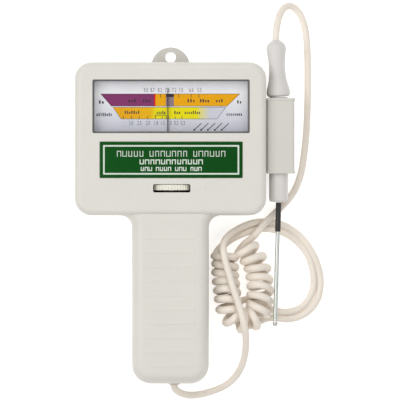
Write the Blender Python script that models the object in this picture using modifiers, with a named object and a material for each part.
"""Hand-held analogue pool water tester, lying on its back.

A T-shaped two-part case holds a moving-coil meter, a thumbwheel selector and a small circuit board.
A probe slides in a holder on the head's right side, and a curly cord joins it to the handle's end.
+X is to the right, +Y towards the hanging tab and +Z out of the dial. The origin is on the rear face,
under the centre of the head.
"""

import math

import bmesh
import bpy
import numpy as np
from mathutils import Matrix, Vector

MM = 0.001
GAP = 0.3 * MM  # room kept between neighbouring pieces

# Case: a wide head and a narrower handle below it
HEAD_WIDTH = 113.4 * MM
HEAD_HEIGHT = 90.8 * MM
HEAD_CORNER = 10.0 * MM
HEAD_TOP = 32.0 * MM
HANDLE_WIDTH = 45.6 * MM
HANDLE_END = -145.1 * MM
HANDLE_CORNER = 11.0 * MM
HANDLE_TOP = 30.4 * MM
HANDLE_BACK = 0.4 * MM
NECK_FILLET = 7.0 * MM
NECK_INSIDE = -25.0 * MM  # how far up the handle's outline runs inside the head
SPLIT = 14.0 * MM  # height of the parting line
WALL = 2.4 * MM
FLOOR = 2.5 * MM
HEAD_ROUND = 4.0 * MM
HANDLE_ROUND = 7.0 * MM
REAR_ROUND = 3.0 * MM
CASE_SCREWS = ((-40, 39), (40, 39), (-46, -36), (46, -36), (0, -58), (0, -128))
BOSS_RADIUS = 2.8 * MM
REAR_BOSS_RADIUS = 4.4 * MM

# Handle ribs
RIB_COUNT = 10
RIB_PITCH = 8.4 * MM
FIRST_RIB = -58.8 * MM
RIB_SIZE = (31.0 * MM, 2.2 * MM, 0.45 * MM)

# Hanging tab
TAB_RADIUS = 11.5 * MM
TAB_CENTRE = 43.1 * MM
TAB_BACK, TAB_THICKNESS = 0.3 * MM, 3.4 * MM
TAB_HOLE = 3.2 * MM
TAB_HOLE_Y = 48.6 * MM

# Window, label and thumbwheel slot in the front face
WINDOW_CENTRE = (0.4 * MM, 19.2 * MM)
WINDOW_INNER = (90.2 * MM, 29.3 * MM)
WINDOW_OUTER = (93.7 * MM, 32.2 * MM)
LENS_SIZE = (93.2 * MM, 32.6 * MM)
LENS_LOW, LENS_HIGH = 28.0 * MM, 29.2 * MM
LABEL_CENTRE = (0.45 * MM, -12.5 * MM)
LABEL_SIZE = (84.4 * MM, 21.3 * MM)
LABEL_THICKNESS = 0.55 * MM
SLOT_CENTRE = (0.8 * MM, -29.35 * MM)
SLOT_SIZE = (22.1 * MM, 4.9 * MM)

# Meter
PIVOT = Vector((-1.5 * MM, -15.5 * MM, 0.0))
DIAL_LOW, DIAL_HIGH = 23.0 * MM, 24.0 * MM
DIAL_BOTTOM = -0.5 * MM
DIAL_TOP = 35.5 * MM
DIAL_LUGS = (-40.0 * MM, 40.8 * MM)
DIAL_LUG_Y = -3.4 * MM
CHASSIS_LOW, CHASSIS_HIGH = 6.0 * MM, 8.0 * MM
CHASSIS_SCREWS = ((-27, -12), (27, -12))
YOKE_OUTER, YOKE_INNER = 9.5 * MM, 7.2 * MM
YOKE_TOP = 20.0 * MM
CORE_RADIUS = 4.6 * MM
CORE_LOW, CORE_HIGH = 12.2 * MM, 19.4 * MM
COIL_HALF_WIDTH = 6.5 * MM
COIL_LOW, COIL_HIGH = 10.4 * MM, 21.1 * MM
COIL_BAR = 1.2 * MM
COIL_DEPTH = 2.4 * MM
POINTER_LOW = 25.2 * MM
POINTER_LENGTH = 45.6 * MM
POINTER_TAIL = 6.5 * MM
BRIDGE_LOW, BRIDGE_HIGH = 27.3 * MM, 28.7 * MM
BRIDGE_REACH = 12.4 * MM

# Thumbwheel
WHEEL_RADIUS = 12.0 * MM
WHEEL_KNURLS = 42
KNURL_DEPTH = 0.45 * MM
WHEEL_HIGH_Y, WHEEL_LOW_Y = -27.2 * MM, -30.5 * MM
WHEEL_X = 0.8 * MM
WHEEL_Z = HEAD_TOP + 1.6 * MM - WHEEL_RADIUS
AXLE_RADIUS = 1.6 * MM
CHEEK = 1.3 * MM

# Circuit board in the handle
BOARD_LOW, BOARD_HIGH = 7.0 * MM, 8.6 * MM
BOARD_SPAN = (-116.0 * MM, -66.0 * MM)
BOARD_WIDTH = 30.0 * MM
BOARD_SCREWS = ((0, -71), (0, -111))

# Probe and its holder
PROBE_X, PROBE_Z = 64.2 * MM, 16.0 * MM
HOLDER_X = (57.0 * MM, 73.9 * MM)
HOLDER_Y = (-20.6 * MM, 24.2 * MM)
HOLDER_Z = (7.6 * MM, 24.4 * MM)
PROBE_RADIUS = 5.6 * MM
PROBE_BOTTOM = -37.4 * MM
GRIP_BOTTOM, GRIP_TOP = 25.2 * MM, 58.6 * MM
GRIP_LEAN = math.radians(3.0)
ROD_LEAN = math.radians(-1.6)
SLEEVE_RADIUS, ROD_RADIUS = 1.65 * MM, 1.3 * MM
SLEEVE_END, ROD_END = -55.1 * MM, -108.4 * MM
HOLDER_SCREWS = (-10.0 * MM, 13.0 * MM)
HOLDER_SCREW_Z = 10.6 * MM

# Cord
CORD_RADIUS = 2.0 * MM
CORD_EXIT = Vector((2.1 * MM, HANDLE_END, SPLIT))
CURL_RADIUS = 8.2 * MM
CORD_POINT_SPACING = 8.5 * MM
CURL_POINT_SPACING = 5.0 * MM

# The free cord's route in millimetres, from the handle's end to the start of the curl
HANDLE_LEAD = (
    (2.2, -147.2, 13.9), (3.5, -149.4, 12.6), (6.0, -151.0, 10.3), (10.4, -152.3, 7.2),
    (16.3, -152.1, 4.2), (21.7, -151.0, 2.6), (26.4, -149.4, 2.1), (31.2, -147.4, 2.1),
    (35.9, -144.2, 2.3), (39.8, -139.8, 3.6), (42.4, -134.7, 6.6), (44.0, -129.4, 10.9),
    (44.7, -124.0, 15.4), (44.8, -118.7, 19.4), (44.2, -113.1, 22.2), (42.9, -106.8, 23.5),
    (41.0, -100.3, 23.5), (39.2, -94.4, 22.5), (37.1, -88.4, 21.1), (35.3, -82.2, 20.1),
    (33.5, -76.0, 19.6), (32.0, -70.3, 19.4), (31.3, -65.6, 17.7), (31.8, -61.4, 14.6),
    (34.1, -57.9, 11.2), (38.0, -54.9, 7.8), (43.0, -52.2, 4.8), (48.7, -50.1, 2.7),
    (54.3, -49.3, 2.1), (60.2, -49.3, 2.1), (66.8, -51.2, 2.1), (73.9, -55.2, 2.1),
    (80.4, -61.7, 2.1), (85.5, -70.0, 2.1), (88.7, -79.5, 2.1), (89.1, -88.4, 2.1),
    (86.7, -96.7, 2.1), (81.3, -102.9, 2.1), (74.5, -106.4, 2.1), (68.0, -107.1, 2.1),
    (62.8, -106.5, 2.1), (57.9, -106.6, 2.1), (53.1, -108.5, 2.1), (48.7, -110.7, 2.1),
    (43.6, -111.1, 2.1), (39.2, -108.2, 2.1), (37.7, -103.4, 2.1), (39.3, -98.5, 2.1),
    (43.6, -95.6, 2.1), (48.7, -95.7, 2.1), (53.1, -97.8, 2.1), (57.9, -100.3, 2.1),
    (63.8, -102.3, 2.1), (69.7, -102.8, 2.1), (75.7, -100.9, 2.1), (81.0, -96.0, 2.1),
    (84.3, -88.4, 2.1), (84.6, -79.5, 2.1), (81.5, -69.4, 2.1), (74.5, -60.5, 2.1),
    (65.6, -55.1, 2.1), (56.7, -53.4, 2.1), (48.4, -54.5, 2.1), (41.2, -57.1, 2.1),
    (35.0, -60.2, 2.1), (29.6, -63.5, 2.5), (26.6, -66.4, 4.4), (25.8, -68.8, 6.2),
)
# Centreline of the curl, from the handle side round its bend and back up
CURL_LINE = (
    (32.3, -71.2, 8.6), (32.5, -77.7, 8.6), (32.9, -84.3, 9.3), (33.7, -90.8, 11.2),
    (34.4, -97.3, 12.6), (36.2, -103.4, 12.9), (39.6, -106.6, 12.9), (43.6, -107.5, 12.9),
    (47.7, -106.6, 12.9), (51.0, -103.4, 12.9), (52.8, -97.3, 12.8), (53.3, -90.8, 11.4),
    (53.0, -84.3, 9.4), (51.8, -77.7, 8.6), (49.6, -72.1, 8.6), (46.6, -67.7, 8.6),
    (45.0, -65.9, 8.6),
)
# From the curl, over the ring of cord, and up beside the probe holder
PROBE_LEAD = (
    (48.3, -59.2, 8.6), (50.3, -56.7, 7.7), (52.3, -54.2, 7.1), (54.5, -51.8, 6.9),
    (57.0, -49.1, 6.9), (59.6, -46.5, 6.1), (62.7, -43.6, 4.3), (66.2, -40.1, 2.7),
    (69.7, -36.4, 2.1), (72.7, -32.5, 2.1), (75.1, -27.9, 2.1), (77.2, -22.0, 2.1),
    (78.9, -13.7, 2.1), (80.1, -4.2, 2.1), (81.0, 6.5, 2.1), (81.4, 17.2, 2.1),
    (81.7, 27.9, 2.1), (81.7, 38.0, 2.1), (81.6, 46.9, 2.1),
)
# The arch over into the top of the grip
PROBE_ARCH = (
    (81.6, 47.3, 2.1), (81.2, 55.8, 2.1), (80.4, 63.5, 2.1), (78.8, 70.3, 2.5),
    (76.0, 75.6, 3.7), (72.6, 78.7, 5.5), (68.9, 78.8, 7.8), (66.1, 76.2, 10.3),
    (64.2, 71.6, 12.8), (63.1, 66.2, 14.7), (62.6, 61.4, 15.7), (62.4, 59.0, 16.0),
)

# Colour, roughness and metallic value of each finish
FINISHES = {
    "case": ((0.72, 0.71, 0.67), 0.45, 0.0),
    "lens": ((0.85, 0.90, 0.95), 0.08, 0.0),
    "dial": ((0.62, 0.68, 0.82), 0.50, 0.0),
    "label": ((0.02, 0.14, 0.05), 0.35, 0.0),
    "wheel": ((0.80, 0.79, 0.74), 0.45, 0.0),
    "probe": ((0.68, 0.67, 0.64), 0.45, 0.0),
    "cord": ((0.72, 0.64, 0.55), 0.55, 0.0),
    "black": ((0.015, 0.015, 0.015), 0.45, 0.0),
    "steel": ((0.70, 0.71, 0.70), 0.25, 1.0),
    "brass": ((0.72, 0.50, 0.20), 0.30, 1.0),
    "iron": ((0.30, 0.30, 0.32), 0.45, 1.0),
    "copper": ((0.70, 0.28, 0.12), 0.40, 1.0),
    "board": ((0.45, 0.30, 0.12), 0.50, 0.0),
    "resistor": ((0.62, 0.50, 0.32), 0.40, 0.0),
    "blue": ((0.05, 0.16, 0.50), 0.40, 0.0),
    "red": ((0.55, 0.03, 0.02), 0.45, 0.0),
}


# ---------------------------------------------------------------- scene and materials

def empty_scene():
    for obj in list(bpy.data.objects):
        bpy.data.objects.remove(obj, do_unlink=True)


def collection(name):
    made = bpy.data.collections.new(name)
    bpy.context.scene.collection.children.link(made)
    return made


def finish_material(name):
    colour, roughness, metallic = FINISHES[name]
    material = bpy.data.materials.new(name)
    material.use_nodes = True
    shader = material.node_tree.nodes["Principled BSDF"]
    shader.inputs["Base Color"].default_value = (*colour, 1.0)
    shader.inputs["Roughness"].default_value = roughness
    shader.inputs["Metallic"].default_value = metallic
    return material


def link_object(name, data):
    obj = bpy.data.objects.new(name, data)
    PARTS.objects.link(obj)
    return obj


def mesh_object(name, shape):
    mesh = bpy.data.meshes.new(name)
    shape.to_mesh(mesh)
    shape.free()
    return link_object(name, mesh)


def finished(obj, finish):
    """Gives a piece its own material and smooth shading with sharp edges kept."""
    material = finish_material(finish)
    material.name = obj.name
    obj.data.materials.clear()
    obj.data.materials.append(material)
    if obj.type == "MESH":
        obj.data.shade_smooth()
        obj.data.set_sharp_from_angle(angle=math.radians(35))
    return obj


# ---------------------------------------------------------------- outlines

def arc(x, y, radius, start, end, steps):
    angles = [math.radians(start + (end - start) * i / steps) for i in range(steps + 1)]
    return [(x + radius * math.cos(a), y + radius * math.sin(a)) for a in angles]


def circle(x, y, radius, steps=20):
    return arc(x, y, radius, 0, 360, steps)[:-1]


def rounded_rectangle(width, height, radius, centre=(0.0, 0.0), steps=5):
    across = width / 2 - radius
    along = height / 2 - radius
    points = []
    for side_x, side_y, start in ((1, 1, 0), (-1, 1, 90), (-1, -1, 180), (1, -1, 270)):
        x = centre[0] + side_x * across
        y = centre[1] + side_y * along
        points += arc(x, y, radius, start, start + 90, steps)
    return points


def head_outline(inset):
    return rounded_rectangle(HEAD_WIDTH - 2 * inset, HEAD_HEIGHT - 2 * inset, HEAD_CORNER - inset)


def handle_outline(inset):
    """The handle with the flare of its neck, carried on inside the head."""
    fillet_x = HANDLE_WIDTH / 2 + NECK_FILLET
    fillet_y = -HEAD_HEIGHT / 2 - NECK_FILLET
    corner_x = HANDLE_WIDTH / 2 - HANDLE_CORNER
    corner_y = HANDLE_END + HANDLE_CORNER
    right = [(fillet_x, NECK_INSIDE)]
    right += arc(fillet_x, fillet_y, NECK_FILLET + inset, 90, 180, 5)
    right += arc(corner_x, corner_y, HANDLE_CORNER - inset, 0, -90, 5)
    return right + [(-x, y) for x, y in reversed(right)]


# ---------------------------------------------------------------- solids

def slab(name, outline, low, high, holes=()):
    """A flat plate with this outline, standing from one height to another."""
    curve = bpy.data.curves.new(name, "CURVE")
    curve.dimensions = "2D"
    curve.fill_mode = "BOTH"
    curve.extrude = (high - low) / 2
    for loop in (outline, *holes):
        spline = curve.splines.new("POLY")
        spline.points.add(len(loop) - 1)
        for point, (x, y) in zip(spline.points, loop):
            point.co = (x, y, 0.0, 1.0)
        spline.use_cyclic_u = True
    guide = link_object(name + "_outline", curve)
    bpy.context.view_layer.update()
    mesh = bpy.data.meshes.new_from_object(guide.evaluated_get(bpy.context.evaluated_depsgraph_get()))
    bpy.data.objects.remove(guide, do_unlink=True)
    shape = bmesh.new()
    shape.from_mesh(mesh)
    bmesh.ops.remove_doubles(shape, verts=shape.verts, dist=0.002 * MM)
    bmesh.ops.dissolve_limit(
        shape, angle_limit=math.radians(0.5), verts=shape.verts, edges=shape.edges
    )
    bmesh.ops.translate(shape, verts=shape.verts, vec=(0.0, 0.0, (low + high) / 2))
    bmesh.ops.recalc_face_normals(shape, faces=shape.faces)
    return mesh_object(name, shape)


def box(name, low, high):
    shape = bmesh.new()
    bmesh.ops.create_cube(shape, size=1.0)
    middle = (Vector(low) + Vector(high)) / 2
    bmesh.ops.scale(shape, verts=shape.verts, vec=Vector(high) - Vector(low))
    bmesh.ops.translate(shape, verts=shape.verts, vec=middle)
    return mesh_object(name, shape)


def cylinder(name, radius, start, end, sides=24):
    start = Vector(start)
    end = Vector(end)
    turn = (end - start).to_track_quat("Z", "Y").to_matrix().to_4x4()
    shape = bmesh.new()
    bmesh.ops.create_cone(
        shape, cap_ends=True, segments=sides, radius1=radius, radius2=radius,
        depth=(end - start).length, matrix=Matrix.Translation((start + end) / 2) @ turn,
    )
    return mesh_object(name, shape)


def turned(name, profile, base, axis, steps=28, closed=False):
    """A profile of (radius, height) pairs, top to bottom, swept round an axis through its base."""
    shape = bmesh.new()
    points = [shape.verts.new((radius, 0.0, height)) for radius, height in profile]
    for first, second in zip(points, points[1:]):
        shape.edges.new((first, second))
    if closed:
        shape.edges.new((points[-1], points[0]))
    obj = mesh_object(name, shape)
    screw = obj.modifiers.new("Turn", "SCREW")
    screw.steps = steps
    screw.render_steps = steps
    screw.use_merge_vertices = True
    screw.merge_threshold = 0.002 * MM
    obj.location = base
    obj.rotation_euler = Vector(axis).to_track_quat("Z", "Y").to_euler()
    return obj


def wire(name, points, radius, resolution=2):
    """A round wire along these points."""
    curve = bpy.data.curves.new(name, "CURVE")
    curve.dimensions = "3D"
    curve.bevel_depth = radius
    curve.bevel_resolution = resolution
    curve.use_fill_caps = True
    spline = curve.splines.new("POLY")
    spline.points.add(len(points) - 1)
    for point, place in zip(spline.points, points):
        point.co = (*place, 1.0)
    return link_object(name, curve)


def smooth_route(points, spacing):
    """Evenly spaced points on a natural cubic spline through the route's own points, in metres."""
    knots = np.array(points, dtype=float) * MM
    steps = np.linalg.norm(np.diff(knots, axis=0), axis=1)
    at = np.concatenate([[0.0], np.cumsum(steps)])
    count = len(knots)
    system = np.eye(count)
    right = np.zeros((count, 3))
    for i in range(1, count - 1):
        system[i, i - 1] = steps[i - 1]
        system[i, i] = 2 * (steps[i - 1] + steps[i])
        system[i, i + 1] = steps[i]
        slope_after = (knots[i + 1] - knots[i]) / steps[i]
        slope_before = (knots[i] - knots[i - 1]) / steps[i - 1]
        right[i] = 6 * (slope_after - slope_before)
    bend = np.linalg.solve(system, right)
    samples = max(3, round(at[-1] / spacing) + 1)
    placed = []
    for s in np.linspace(0.0, at[-1], samples):
        i = min(int(np.searchsorted(at, s, side="right")) - 1, count - 2)
        h = steps[i]
        a = (at[i + 1] - s) / h
        b = (s - at[i]) / h
        curved = ((a**3 - a) * bend[i] + (b**3 - b) * bend[i + 1]) * h * h / 6
        placed.append(a * knots[i] + b * knots[i + 1] + curved)
    return placed


# ---------------------------------------------------------------- work on solids

def round_rim(obj, height, radius, segments=3):
    """Rounds the edges of the flat face that lies at this height."""
    shape = bmesh.new()
    shape.from_mesh(obj.data)
    rim = [
        edge
        for edge in shape.edges
        if all(abs(v.co.z - height) < 0.01 * MM for v in edge.verts)
        and edge.calc_face_angle(0.0) > math.radians(30)
    ]
    bmesh.ops.bevel(
        shape, geom=rim, offset=radius, segments=segments, profile=0.5, affect="EDGES"
    )
    shape.to_mesh(obj.data)
    shape.free()
    return obj


def move_mesh(obj, matrix):
    obj.data.transform(matrix)
    return obj


def facing_y(obj, centre):
    """Lays a slab that was made in the XY plane across the Y axis, about this centre."""
    lay = Matrix.Translation(centre) @ Matrix.Rotation(math.radians(-90), 4, "X")
    return move_mesh(obj, lay)


def joined(name, pieces):
    """One mesh of several separate bodies, for use in a Boolean."""
    shape = bmesh.new()
    for piece in pieces:
        shape.from_mesh(piece.data)
        bpy.data.objects.remove(piece, do_unlink=True)
    return mesh_object(name, shape)


def apply_boolean(obj, other, operation):
    PARTS.objects.unlink(other)
    CUTTERS.objects.link(other)
    other.hide_render = True
    other.display_type = "WIRE"
    modifier = obj.modifiers.new(other.name, "BOOLEAN")
    modifier.operation = operation
    modifier.solver = "EXACT"
    modifier.object = other
    return obj


def cut(obj, cutter):
    return apply_boolean(obj, cutter, "DIFFERENCE")


def fuse(obj, other):
    return apply_boolean(obj, other, "UNION")


def posts(name, places, radius, low, high, sides=16):
    """Upright cylinders at places given in millimetres."""
    made = [
        cylinder(f"{name}_{i}", radius, (x * MM, y * MM, low), (x * MM, y * MM, high), sides)
        for i, (x, y) in enumerate(places)
    ]
    return joined(name, made)


def screw(name, seat, into, head_radius, shaft_radius, length):
    """A pan-head screw. Its head sits on the seat and its shaft points along into."""
    head = head_radius * 0.75
    profile = [
        (0.0, head), (head_radius * 0.55, head), (head_radius * 0.9, head * 0.6),
        (head_radius, 0.0), (shaft_radius, 0.0), (shaft_radius, -length + shaft_radius),
        (0.0, -length),
    ]
    return finished(turned(name, profile, seat, -Vector(into), steps=12), "steel")


def moves_with(empty, *pieces):
    for piece in pieces:
        piece.parent = empty
        piece.matrix_parent_inverse = Matrix.Translation(empty.location).inverted()


def joint_empty(name, place):
    empty = link_object(name, None)
    empty.location = place
    empty.empty_display_size = 5 * MM
    return empty


# ---------------------------------------------------------------- case

def cord_hole(name):
    start = CORD_EXIT + Vector((0.0, -3 * MM, 0.0))
    return cylinder(name, 3.6 * MM, start, CORD_EXIT + Vector((0.0, 8 * MM, 0.0)))


def window_cutter():
    low, high = LENS_LOW + 0.9 * MM, HEAD_TOP + 0.5 * MM
    cutter = slab("window", rounded_rectangle(*WINDOW_INNER, 0.8 * MM, WINDOW_CENTRE, 3), low, high)
    middle = Vector((*WINDOW_CENTRE, 0.0))
    for vertex in cutter.data.vertices:
        if vertex.co.z > HEAD_TOP:
            vertex.co.x = middle.x + (vertex.co.x - middle.x) * WINDOW_OUTER[0] / WINDOW_INNER[0]
            vertex.co.y = middle.y + (vertex.co.y - middle.y) * WINDOW_OUTER[1] / WINDOW_INNER[1]
    return cutter


def handle_ribs():
    width, depth, height = RIB_SIZE
    ribs = []
    for i in range(RIB_COUNT):
        y = FIRST_RIB - i * RIB_PITCH
        low = (-width / 2, y - depth / 2, HANDLE_TOP - 1 * MM)
        rib = box(f"rib_{i}", low, (width / 2, y + depth / 2, HANDLE_TOP + height))
        ribs.append(round_rim(rib, HANDLE_TOP + height, height * 0.8, 1))
    return joined("handle_ribs", ribs)


def front_shell():
    shell = round_rim(slab("front_shell", head_outline(0), SPLIT, HEAD_TOP), HEAD_TOP, HEAD_ROUND)
    handle = slab("front_handle", handle_outline(0), SPLIT, HANDLE_TOP)
    fuse(shell, round_rim(handle, HANDLE_TOP, HANDLE_ROUND, 4))
    inside = LENS_HIGH + GAP
    cut(shell, slab("front_head_room", head_outline(WALL), SPLIT - 1 * MM, inside))
    room = slab("front_handle_room", handle_outline(WALL), SPLIT - 1 * MM, HANDLE_TOP - FLOOR)
    cut(shell, round_rim(room, HANDLE_TOP - FLOOR, 5.0 * MM, 2))
    fuse(shell, posts("front_bosses", CASE_SCREWS, BOSS_RADIUS, SPLIT, HANDLE_TOP - 0.6 * MM))
    cut(shell, posts("pilot_holes", CASE_SCREWS, 1.7 * MM, SPLIT - 1 * MM, 25.5 * MM, 12))
    cut(shell, window_cutter())
    label_bed = rounded_rectangle(
        LABEL_SIZE[0] + 2 * GAP, LABEL_SIZE[1] + 2 * GAP, 0.8 * MM, LABEL_CENTRE, 3
    )
    cut(shell, slab("label_bed", label_bed, HEAD_TOP - 0.8 * MM, HEAD_TOP + 1 * MM))
    slot = rounded_rectangle(*SLOT_SIZE, 0.9 * MM, SLOT_CENTRE, 3)
    cut(shell, slab("wheel_slot", slot, HEAD_TOP - 5 * MM, HEAD_TOP + 1 * MM))
    cut(shell, cord_hole("front_cord_hole"))
    fuse(shell, handle_ribs())
    return finished(shell, "case")


def rear_shell():
    top = SPLIT - GAP
    shell = round_rim(slab("rear_shell", head_outline(0), 0.0, top + 1 * MM), 0.0, REAR_ROUND, 2)
    back = HANDLE_BACK
    handle = round_rim(slab("rear_handle", handle_outline(0), back, top + 2 * MM), back, REAR_ROUND, 2)
    fuse(shell, handle)
    trim = box("parting_trim", (-HEAD_WIDTH, 2 * HANDLE_END, top), (HEAD_WIDTH, HEAD_HEIGHT, HEAD_TOP))
    cut(shell, trim)
    cut(shell, slab("rear_head_room", head_outline(WALL), FLOOR, SPLIT + 1 * MM))
    cut(shell, slab("rear_handle_room", handle_outline(WALL), FLOOR + back, SPLIT + 2 * MM))
    tab = slab("hanging_tab", circle(0.0, TAB_CENTRE, TAB_RADIUS, 32), TAB_BACK, TAB_THICKNESS)
    fuse(shell, round_rim(tab, TAB_THICKNESS, 0.6 * MM, 1))
    fuse(shell, posts("rear_bosses", CASE_SCREWS, REAR_BOSS_RADIUS, 2 * MM, top))
    small = CHASSIS_SCREWS + BOARD_SCREWS
    fuse(shell, posts("chassis_posts", CHASSIS_SCREWS, 2.8 * MM, 2 * MM, CHASSIS_LOW - GAP, 12))
    fuse(shell, posts("board_posts", BOARD_SCREWS, 2.8 * MM, 2 * MM, BOARD_LOW - GAP, 12))
    cut(shell, posts("small_pilot_holes", small, 1.5 * MM, FLOOR, 9 * MM, 10))
    cut(shell, posts("counterbores", CASE_SCREWS, 3.2 * MM, -1 * MM, 4.2 * MM))
    cut(shell, posts("screw_holes", CASE_SCREWS, 1.75 * MM, -1 * MM, SPLIT + 1 * MM, 12))
    hole_y = TAB_HOLE_Y / MM
    cut(shell, posts("tab_hole", ((0, hole_y),), TAB_HOLE, -1 * MM, TAB_THICKNESS + 1 * MM, 28))
    cut(shell, cord_hole("rear_cord_hole"))
    side = [
        cylinder(
            f"side_hole_{i}", 1.6 * MM, (HEAD_WIDTH / 2 - WALL - 1 * MM, y, HOLDER_SCREW_Z),
            (HEAD_WIDTH / 2 + 1 * MM, y, HOLDER_SCREW_Z), 14,
        )
        for i, y in enumerate(HOLDER_SCREWS)
    ]
    cut(shell, joined("side_holes", side))
    return finished(shell, "case")


def case_screws():
    for i, (x, y) in enumerate(CASE_SCREWS):
        screw(f"case_screw_{i + 1}", (x * MM, y * MM, 3.9 * MM), (0, 0, 1), 2.8 * MM, 1.35 * MM, 19 * MM)


def window_lens():
    outline = rounded_rectangle(*LENS_SIZE, 1.0 * MM, WINDOW_CENTRE, 3)
    return finished(slab("window_lens", outline, LENS_LOW, LENS_HIGH), "lens")


def label_plate():
    low = HEAD_TOP - 0.8 * MM + GAP
    plate = slab(
        "label_plate", rounded_rectangle(*LABEL_SIZE, 0.6 * MM, LABEL_CENTRE, 3),
        low, low + LABEL_THICKNESS,
    )
    return finished(plate, "label")


# ---------------------------------------------------------------- meter

def dial_plate():
    left, right = (WINDOW_CENTRE[0] + side * LENS_SIZE[0] / 2 for side in (-1, 1))
    half, foot = 3.6 * MM, DIAL_LUG_Y - 3.2 * MM
    outline = [(left, DIAL_TOP), (left, DIAL_BOTTOM)]
    for x in DIAL_LUGS:
        outline += [(x - half, DIAL_BOTTOM), (x - half, foot), (x + half, foot), (x + half, DIAL_BOTTOM)]
    outline += [(right, DIAL_BOTTOM), (right, DIAL_TOP)]
    holes = [circle(x, DIAL_LUG_Y, 1.5 * MM, 14) for x in DIAL_LUGS]
    return finished(slab("dial_plate", outline, DIAL_LOW, DIAL_HIGH, holes), "dial")


def meter_chassis():
    outline = rounded_rectangle(89.6 * MM, 27.0 * MM, 3.0 * MM, (0.4 * MM, -11.1 * MM), 3)
    holes = [circle(x * MM, y * MM, 1.5 * MM, 14) for x, y in CHASSIS_SCREWS]
    holes.append(circle(PIVOT.x, PIVOT.y, 1.9 * MM, 16))
    chassis = slab("meter_chassis", outline, CHASSIS_LOW, CHASSIS_HIGH, holes)
    places = [(x / MM, DIAL_LUG_Y / MM) for x in DIAL_LUGS]
    fuse(chassis, posts("dial_posts", places, 3.0 * MM, CHASSIS_LOW + 1 * MM, DIAL_LOW - GAP, 16))
    cut(chassis, posts("dial_pilot_holes", places, 1.5 * MM, 16 * MM, DIAL_LOW + 1 * MM, 12))
    return finished(chassis, "black")


def meter_screws():
    for i, (x, y) in enumerate(CHASSIS_SCREWS):
        seat = (x * MM, y * MM, CHASSIS_HIGH + GAP)
        screw(f"chassis_screw_{i + 1}", seat, (0, 0, -1), 2.3 * MM, 1.2 * MM, 5.2 * MM)
    for i, x in enumerate(DIAL_LUGS):
        seat = (x, DIAL_LUG_Y, DIAL_HIGH + GAP)
        screw(f"dial_screw_{i + 1}", seat, (0, 0, -1), 2.2 * MM, 1.2 * MM, 7.0 * MM)


def ring(name, outer, inner, low, high, finish, steps=36):
    profile = [(outer, high), (outer, low), (inner, low), (inner, high)]
    return finished(turned(name, profile, PIVOT, (0, 0, 1), steps, closed=True), finish)


def core_spacer(name, towards):
    """A curved block between core and yoke, on the side that the coil never reaches."""
    outer = arc(PIVOT.x, PIVOT.y, YOKE_INNER - GAP, towards - 22, towards + 22, 5)
    inner = arc(PIVOT.x, PIVOT.y, CORE_RADIUS + GAP, towards + 22, towards - 22, 5)
    return finished(slab(name, outer + inner, CORE_LOW, CORE_HIGH), "brass")


def moving_coil():
    half = COIL_HALF_WIDTH
    depth = COIL_DEPTH / 2
    low = PIVOT + Vector((-half, -depth, COIL_LOW))
    high = PIVOT + Vector((half, depth, COIL_HIGH))
    coil = box("moving_coil", low, high)
    inset = Vector((COIL_BAR, -1 * MM, COIL_BAR))
    cut(coil, box("coil_opening", low + inset, high - inset))
    return finished(coil, "copper")


def pointer():
    """A needle towards +Y with a short tail, on a hub round the upper pivot."""
    low = POINTER_LOW
    tip, root, tail = 0.22 * MM, 0.42 * MM, 0.6 * MM
    outline = [
        (PIVOT.x - tip, PIVOT.y + POINTER_LENGTH), (PIVOT.x - root, PIVOT.y),
        (PIVOT.x - tail, PIVOT.y - POINTER_TAIL), (PIVOT.x + tail, PIVOT.y - POINTER_TAIL),
        (PIVOT.x + root, PIVOT.y), (PIVOT.x + tip, PIVOT.y + POINTER_LENGTH),
    ]
    needle = slab("pointer", outline, low, low + 0.4 * MM)
    hub = slab("pointer_hub", circle(PIVOT.x, PIVOT.y, 1.9 * MM, 20), low - 0.3 * MM, low + 0.9 * MM)
    fuse(needle, hub)
    places = ((PIVOT.x / MM, PIVOT.y / MM),)
    cut(needle, posts("hub_bore", places, 0.75 * MM, low - 1 * MM, low + 2 * MM, 12))
    return finished(needle, "black")


def balance_weight():
    y = PIVOT.y - POINTER_TAIL + 1.2 * MM
    base = POINTER_LOW + 0.4 * MM + GAP
    weight = cylinder("balance_weight", 0.9 * MM, (PIVOT.x, y, base), (PIVOT.x, y, base + 1 * MM), 12)
    return finished(weight, "brass")


def pivots():
    upper = cylinder(
        "upper_pivot", 0.45 * MM, PIVOT + Vector((0, 0, COIL_HIGH + GAP)),
        PIVOT + Vector((0, 0, BRIDGE_LOW - 0.7 * MM)), 12,
    )
    lower = cylinder(
        "lower_pivot", 0.45 * MM, PIVOT + Vector((0, 0, 9.0 * MM)),
        PIVOT + Vector((0, 0, COIL_LOW - GAP)), 12,
    )
    return finished(upper, "steel"), finished(lower, "steel")


def upper_bridge():
    """A strap over the movement on two legs that stand beside the yoke."""
    bar = box(
        "upper_bridge", PIVOT + Vector((-BRIDGE_REACH, -2 * MM, BRIDGE_LOW)),
        PIVOT + Vector((BRIDGE_REACH, 2 * MM, BRIDGE_HIGH)),
    )
    legs = []
    for side in (-1, 1):
        inner, outer = sorted((side * (YOKE_OUTER + GAP), side * (BRIDGE_REACH - 0.1 * MM)))
        low = PIVOT + Vector((inner, -1.9 * MM, CHASSIS_HIGH + GAP))
        high = PIVOT + Vector((outer, 1.9 * MM, BRIDGE_HIGH - 0.1 * MM))
        legs.append(box(f"bridge_leg_{side}", low, high))
    fuse(bar, joined("bridge_legs", legs))
    places = ((PIVOT.x / MM, PIVOT.y / MM),)
    cut(bar, posts("bridge_bore", places, 1.9 * MM, BRIDGE_LOW - 1 * MM, BRIDGE_HIGH + 1 * MM, 16))
    return finished(bar, "brass")


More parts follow.
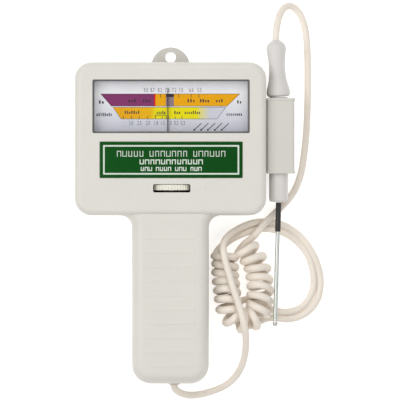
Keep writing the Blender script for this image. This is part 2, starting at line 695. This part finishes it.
def jewel_screws():
    upper = cylinder(
        "upper_jewel_screw", 1.6 * MM, PIVOT + Vector((0, 0, BRIDGE_LOW - 0.4 * MM)),
        PIVOT + Vector((0, 0, BRIDGE_HIGH + 0.4 * MM)), 16,
    )
    lower = cylinder(
        "lower_jewel_screw", 1.6 * MM, PIVOT + Vector((0, 0, CHASSIS_LOW - 0.2 * MM)),
        PIVOT + Vector((0, 0, CHASSIS_HIGH + 0.7 * MM)), 16,
    )
    return finished(upper, "brass"), finished(lower, "brass")


def hairspring(name, height):
    """A flat spiral round the staff."""
    turns, points = 2.25, 26
    first, last = 1.1 * MM, 4.2 * MM
    places = []
    for i in range(points):
        share = i / (points - 1)
        angle = turns * 2 * math.pi * share
        radius = first + (last - first) * share
        places.append(PIVOT + Vector((radius * math.cos(angle), radius * math.sin(angle), height)))
    return finished(wire(name, places, 0.16 * MM, 1), "brass")


# ---------------------------------------------------------------- selector

def selector_wheel():
    outline = []
    for i in range(WHEEL_KNURLS):
        for share, depth in ((0.0, 0.0), (0.45, 0.0), (0.6, KNURL_DEPTH), (0.85, KNURL_DEPTH)):
            angle = 2 * math.pi * (i + share) / WHEEL_KNURLS
            radius = WHEEL_RADIUS - depth
            outline.append((radius * math.cos(angle), radius * math.sin(angle)))
    half = (WHEEL_HIGH_Y - WHEEL_LOW_Y) / 2
    wheel = slab("selector_wheel", outline, -half, half, [circle(0, 0, AXLE_RADIUS + GAP, 20)])
    facing_y(wheel, (WHEEL_X, (WHEEL_HIGH_Y + WHEEL_LOW_Y) / 2, WHEEL_Z))
    return finished(wheel, "wheel")


def selector_axle():
    axle = cylinder(
        "selector_axle", AXLE_RADIUS, (WHEEL_X, WHEEL_LOW_Y - 4.2 * MM, WHEEL_Z),
        (WHEEL_X, WHEEL_HIGH_Y + 1.9 * MM, WHEEL_Z), 20,
    )
    return finished(axle, "steel")


def selector_cam():
    outline = arc(0, 0, 3.0 * MM, -50, 230, 16) + arc(0, -2.4 * MM, 2.0 * MM, 220, 320, 6)
    cam = slab("selector_cam", outline, -0.7 * MM, 0.7 * MM, [circle(0, 0, AXLE_RADIUS + GAP, 16)])
    lay = Matrix.Translation((WHEEL_X, WHEEL_LOW_Y - 2.9 * MM, WHEEL_Z))
    move_mesh(cam, lay @ Matrix.Rotation(math.radians(90), 4, "X"))
    return finished(cam, "black")


def selector_bracket():
    """Two cheeks on a base plate, one each side of the thumbwheel."""
    left, right = WHEEL_X - 4.5 * MM, WHEEL_X + 4.5 * MM
    top, floor = WHEEL_Z + 3.6 * MM, FLOOR + GAP
    upper_y = (WHEEL_HIGH_Y + GAP, WHEEL_HIGH_Y + GAP + CHEEK)
    lower_y = (WHEEL_LOW_Y - GAP - CHEEK, WHEEL_LOW_Y - GAP)
    bracket = box("selector_bracket", (left, lower_y[0], floor), (right, upper_y[1], floor + 2 * MM))
    cheeks = [
        box(f"cheek_{i}", (left + 0.1 * MM, low, floor + 1 * MM), (right - 0.1 * MM, high, top))
        for i, (low, high) in enumerate((
            (lower_y[0] + 0.05 * MM, lower_y[1]), (upper_y[0], upper_y[1] - 0.05 * MM),
        ))
    ]
    fuse(bracket, joined("cheeks", cheeks))
    bore = cylinder(
        "axle_bore", AXLE_RADIUS + GAP, (WHEEL_X, lower_y[0] - 1 * MM, WHEEL_Z),
        (WHEEL_X, upper_y[1] + 1 * MM, WHEEL_Z), 20,
    )
    return finished(cut(bracket, bore), "black")


def switch_spring():
    """A contact leaf below the cam, on its own foot."""
    y = (WHEEL_LOW_Y - 3.9 * MM, WHEEL_LOW_Y - 2.1 * MM)
    leaf_z = WHEEL_Z - 5.4 * MM
    high = (WHEEL_X + 8 * MM, y[1], leaf_z + 0.5 * MM)
    leaf = box("switch_spring", (WHEEL_X - 7 * MM, y[0], leaf_z), high)
    low = (WHEEL_X + 7.4 * MM, y[0] + 0.1 * MM, FLOOR + GAP)
    foot = box("spring_foot", low, (WHEEL_X + 7.9 * MM, y[1] - 0.1 * MM, leaf_z + 0.3 * MM))
    return finished(fuse(leaf, foot), "brass")


# ---------------------------------------------------------------- circuit board and leads

def circuit_board():
    low, high = BOARD_SPAN
    outline = rounded_rectangle(BOARD_WIDTH, high - low, 1.5 * MM, (0.0, (low + high) / 2), 3)
    holes = [circle(x * MM, y * MM, 1.5 * MM, 14) for x, y in BOARD_SCREWS]
    return finished(slab("circuit_board", outline, BOARD_LOW, BOARD_HIGH, holes), "board")


def board_parts():
    for i, (x, y) in enumerate(BOARD_SCREWS):
        seat = (x * MM, y * MM, BOARD_HIGH + GAP)
        screw(f"board_screw_{i + 1}", seat, (0, 0, -1), 2.3 * MM, 1.2 * MM, 5.6 * MM)
    for i, y in enumerate((-86 * MM, -92 * MM)):
        z = BOARD_HIGH + 1.6 * MM
        body = cylinder(f"series_resistor_{i + 1}", 1.2 * MM, (-9 * MM, y, z), (-2 * MM, y, z), 14)
        finished(body, "resistor")
    low = BOARD_HIGH + GAP
    trimmer = box("trimmer", (4 * MM, -94 * MM, low), (10.5 * MM, -87.5 * MM, low + 4 * MM))
    finished(round_rim(trimmer, low + 4 * MM, 0.5 * MM, 1), "blue")


def thin_lead(name, route, finish):
    return finished(wire(name, smooth_route(route, 5 * MM), 0.55 * MM, 1), finish)


def leads():
    """Two leads from the board to the meter, and the cord's two cores to the board, in mm."""
    top = BOARD_HIGH / MM + 0.9
    to_meter = ((8, -78, top), (10, -62, 9.5), (14, -45, 7), (17, -26, 9.4))
    thin_lead("meter_lead_black", to_meter, "black")
    thin_lead("meter_lead_red", [(-x, y, z) for x, y, z in to_meter], "red")
    red_core = [
        (1.0, -132.3, 14.4), (-2.5, -133.7, 13.8), (-6.5, -131.5, 12.5),
        (-8, -122, 10.5), (-8, -108, top),
    ]
    thin_lead("signal_wire_red", red_core, "red")
    white_core = [(3.0, -132.6, 14), (8, -131.5, 12.5), (9, -122, 10.5), (8, -108, top)]
    thin_lead("signal_wire_white", white_core, "case")


def cord_grommet():
    """A soft bush in the handle's end, with its flange on the inside."""
    bore, body, flange = CORD_RADIUS + GAP, 3.3 * MM, 4.6 * MM
    profile = [
        (body, 0.9 * MM), (body, -WALL - 0.4 * MM), (flange, -WALL - 0.4 * MM),
        (flange, -WALL - 2 * MM), (bore, -WALL - 2 * MM), (bore, 0.9 * MM),
    ]
    return finished(turned("cord_grommet", profile, CORD_EXIT, (0, -1, 0), 24, closed=True), "cord")


def cord_tail():
    start = CORD_EXIT - Vector((0, 0.5 * MM, 0))
    tail = cylinder("cord_tail", CORD_RADIUS, start, CORD_EXIT + Vector((0, 12.0 * MM, 0)), 12)
    return finished(tail, "cord")


def cord_clamp():
    x, z = CORD_EXIT.x, CORD_EXIT.z
    low = (x - 6 * MM, -140.0 * MM, FLOOR + HANDLE_BACK + GAP)
    block = box("cord_clamp", low, (x + 6 * MM, -135.5 * MM, z + 4 * MM))
    bore = cylinder("clamp_bore", CORD_RADIUS + GAP, (x, -142 * MM, z), (x, -134 * MM, z), 16)
    return finished(cut(block, bore), "black")


# ---------------------------------------------------------------- probe

def probe_holder():
    """A square sleeve with a thicker lip at each end, bored for the probe."""
    (left, right), (bottom, top), (low, high) = HOLDER_X, HOLDER_Y, HOLDER_Z
    middle = Vector(((left + right) / 2, (bottom + top) / 2, (low + high) / 2))
    lip, step = 1.6 * MM, 0.35 * MM
    length = top - bottom
    sleeve = slab(
        "probe_holder",
        rounded_rectangle(right - left - 2 * step, high - low - 2 * step, 1.6 * MM, steps=3),
        -length / 2 + 0.3 * MM, length / 2 - 0.3 * MM,
    )
    outline = rounded_rectangle(right - left, high - low, 1.9 * MM, steps=3)
    lips = [
        slab(f"lip_{i}", outline, min(a, b), max(a, b))
        for i, (a, b) in enumerate(((-length / 2, -length / 2 + lip), (length / 2 - lip, length / 2)))
    ]
    lay = Matrix.Translation(middle) @ Matrix.Rotation(math.radians(-90), 4, "X")
    move_mesh(sleeve, lay)
    fuse(sleeve, move_mesh(joined("holder_lips", lips), lay))
    bore = cylinder(
        "holder_bore", PROBE_RADIUS + GAP, (PROBE_X, bottom - 2 * MM, PROBE_Z),
        (PROBE_X, top + 2 * MM, PROBE_Z), 28,
    )
    cut(sleeve, bore)
    side = [
        cylinder(
            f"holder_pilot_{i}", 1.5 * MM, (left - 1 * MM, y, HOLDER_SCREW_Z),
            (left + 3.4 * MM, y, HOLDER_SCREW_Z), 12,
        )
        for i, y in enumerate(HOLDER_SCREWS)
    ]
    cut(sleeve, joined("holder_pilots", side))
    for i, y in enumerate(HOLDER_SCREWS):
        seat = (HEAD_WIDTH / 2 - WALL - GAP, y, HOLDER_SCREW_Z)
        screw(f"holder_screw_{i + 1}", seat, (1, 0, 0), 2.4 * MM, 1.2 * MM, 5.6 * MM)
    return finished(sleeve, "case")


def probe_grip():
    """A waisted grip with a domed top. It leans a little towards the head."""
    length = GRIP_TOP - GRIP_BOTTOM
    dome = [
        (5.9 * MM * math.sin(math.radians(a)), length - 5.0 * MM + 5.0 * MM * math.cos(math.radians(a)))
        for a in (22, 45, 68, 90)
    ]
    profile = [(0.0, length), *dome]
    profile += [
        (5.6 * MM, length - 9 * MM), (5.0 * MM, length - 13 * MM), (4.75 * MM, length - 17 * MM),
        (4.85 * MM, length - 20 * MM), (5.4 * MM, length - 24 * MM), (6.2 * MM, length - 27.4 * MM),
        (6.9 * MM, 3.6 * MM), (7.0 * MM, 2.2 * MM), (6.6 * MM, 0.9 * MM), (5.7 * MM, 0.0), (0.0, 0.0),
    ]
    axis = (-math.sin(GRIP_LEAN), math.cos(GRIP_LEAN), 0.0)
    grip = turned("probe_grip", profile, (PROBE_X, GRIP_BOTTOM, PROBE_Z), axis, 24)
    return finished(grip, "probe")


def probe_body():
    top, bottom, radius = GRIP_BOTTOM - GAP, PROBE_BOTTOM, PROBE_RADIUS
    profile = [(0.0, top - bottom), (5.0 * MM, top - bottom), (radius, top - bottom - 0.9 * MM)]
    profile += [
        (radius - 1.6 * MM * (1 - math.sin(math.radians(a))), 1.6 * MM * (1 - math.cos(math.radians(a))))
        for a in (90, 60, 30)
    ]
    profile += [(3.4 * MM, 0.0), (0.0, 0.0)]
    body = turned("probe_body", profile, (PROBE_X, bottom, PROBE_Z), (0, 1, 0), 28)
    return finished(body, "probe")


def electrode():
    """Insulating sleeve, bare rod and tip, one below the other on a slightly leaning axis."""
    start = Vector((PROBE_X, PROBE_BOTTOM, PROBE_Z))
    along = Vector((math.sin(ROD_LEAN), -math.cos(ROD_LEAN), 0.0))

    def at(y):
        return start + along * (PROBE_BOTTOM - y)

    sleeve = cylinder("insulating_sleeve", SLEEVE_RADIUS, at(PROBE_BOTTOM - GAP), at(SLEEVE_END), 16)
    rod = cylinder("electrode_rod", ROD_RADIUS, at(SLEEVE_END - GAP), at(ROD_END), 16)
    profile = [
        (0.0, 0.0), (1.1 * MM, 0.0), (1.55 * MM, -0.5 * MM), (1.55 * MM, -1.5 * MM),
        (0.9 * MM, -2.4 * MM), (0.0, -2.4 * MM),
    ]
    tip = turned("electrode_tip", profile, at(ROD_END - GAP), -along, 16)
    return finished(sleeve, "black"), finished(rod, "steel"), finished(tip, "brass")


# ---------------------------------------------------------------- free cord

def free_cord():
    lead = wire("cord_handle_lead", smooth_route(HANDLE_LEAD, CORD_POINT_SPACING), CORD_RADIUS)
    curl = wire("cord_curl", smooth_route(CURL_LINE, CURL_POINT_SPACING), CURL_RADIUS, 4)
    return_lead = wire("cord_probe_lead", smooth_route(PROBE_LEAD, CORD_POINT_SPACING), CORD_RADIUS)
    arch = wire("cord_probe_arch", smooth_route(PROBE_ARCH, CORD_POINT_SPACING * 0.8), CORD_RADIUS)
    for piece in (lead, curl, return_lead, arch):
        finished(piece, "cord")
    return arch


# ---------------------------------------------------------------- assembly

def main():
    front_shell()
    rear_shell()
    case_screws()
    window_lens()
    label_plate()
    dial_plate()
    meter_chassis()
    meter_screws()
    ring("yoke_ring", YOKE_OUTER, YOKE_INNER, CHASSIS_HIGH + GAP, YOKE_TOP, "iron")
    core = cylinder(
        "core_magnet", CORE_RADIUS, PIVOT + Vector((0, 0, CORE_LOW)), PIVOT + Vector((0, 0, CORE_HIGH)), 28
    )
    finished(core, "iron")
    core_spacer("core_spacer_upper", 90)
    core_spacer("core_spacer_lower", 270)
    upper_bridge()
    jewel_screws()
    hairspring("upper_hairspring", 23.0 * MM)
    hairspring("lower_hairspring", 9.5 * MM)
    moves_with(
        joint_empty("pointer_axis", PIVOT), moving_coil(), pointer(), balance_weight(), *pivots()
    )
    selector_bracket()
    switch_spring()
    wheel_centre = (WHEEL_X, (WHEEL_HIGH_Y + WHEEL_LOW_Y) / 2, WHEEL_Z)
    moves_with(
        joint_empty("selector_axis", wheel_centre), selector_wheel(), selector_axle(), selector_cam()
    )
    circuit_board()
    board_parts()
    leads()
    cord_grommet()
    cord_tail()
    cord_clamp()
    probe_holder()
    moves_with(
        joint_empty("probe_axis", (PROBE_X, PROBE_BOTTOM, PROBE_Z)),
        probe_grip(), probe_body(), *electrode(), free_cord(),
    )


empty_scene()
PARTS = collection("pool_water_tester")
CUTTERS = collection("cutters")
main()
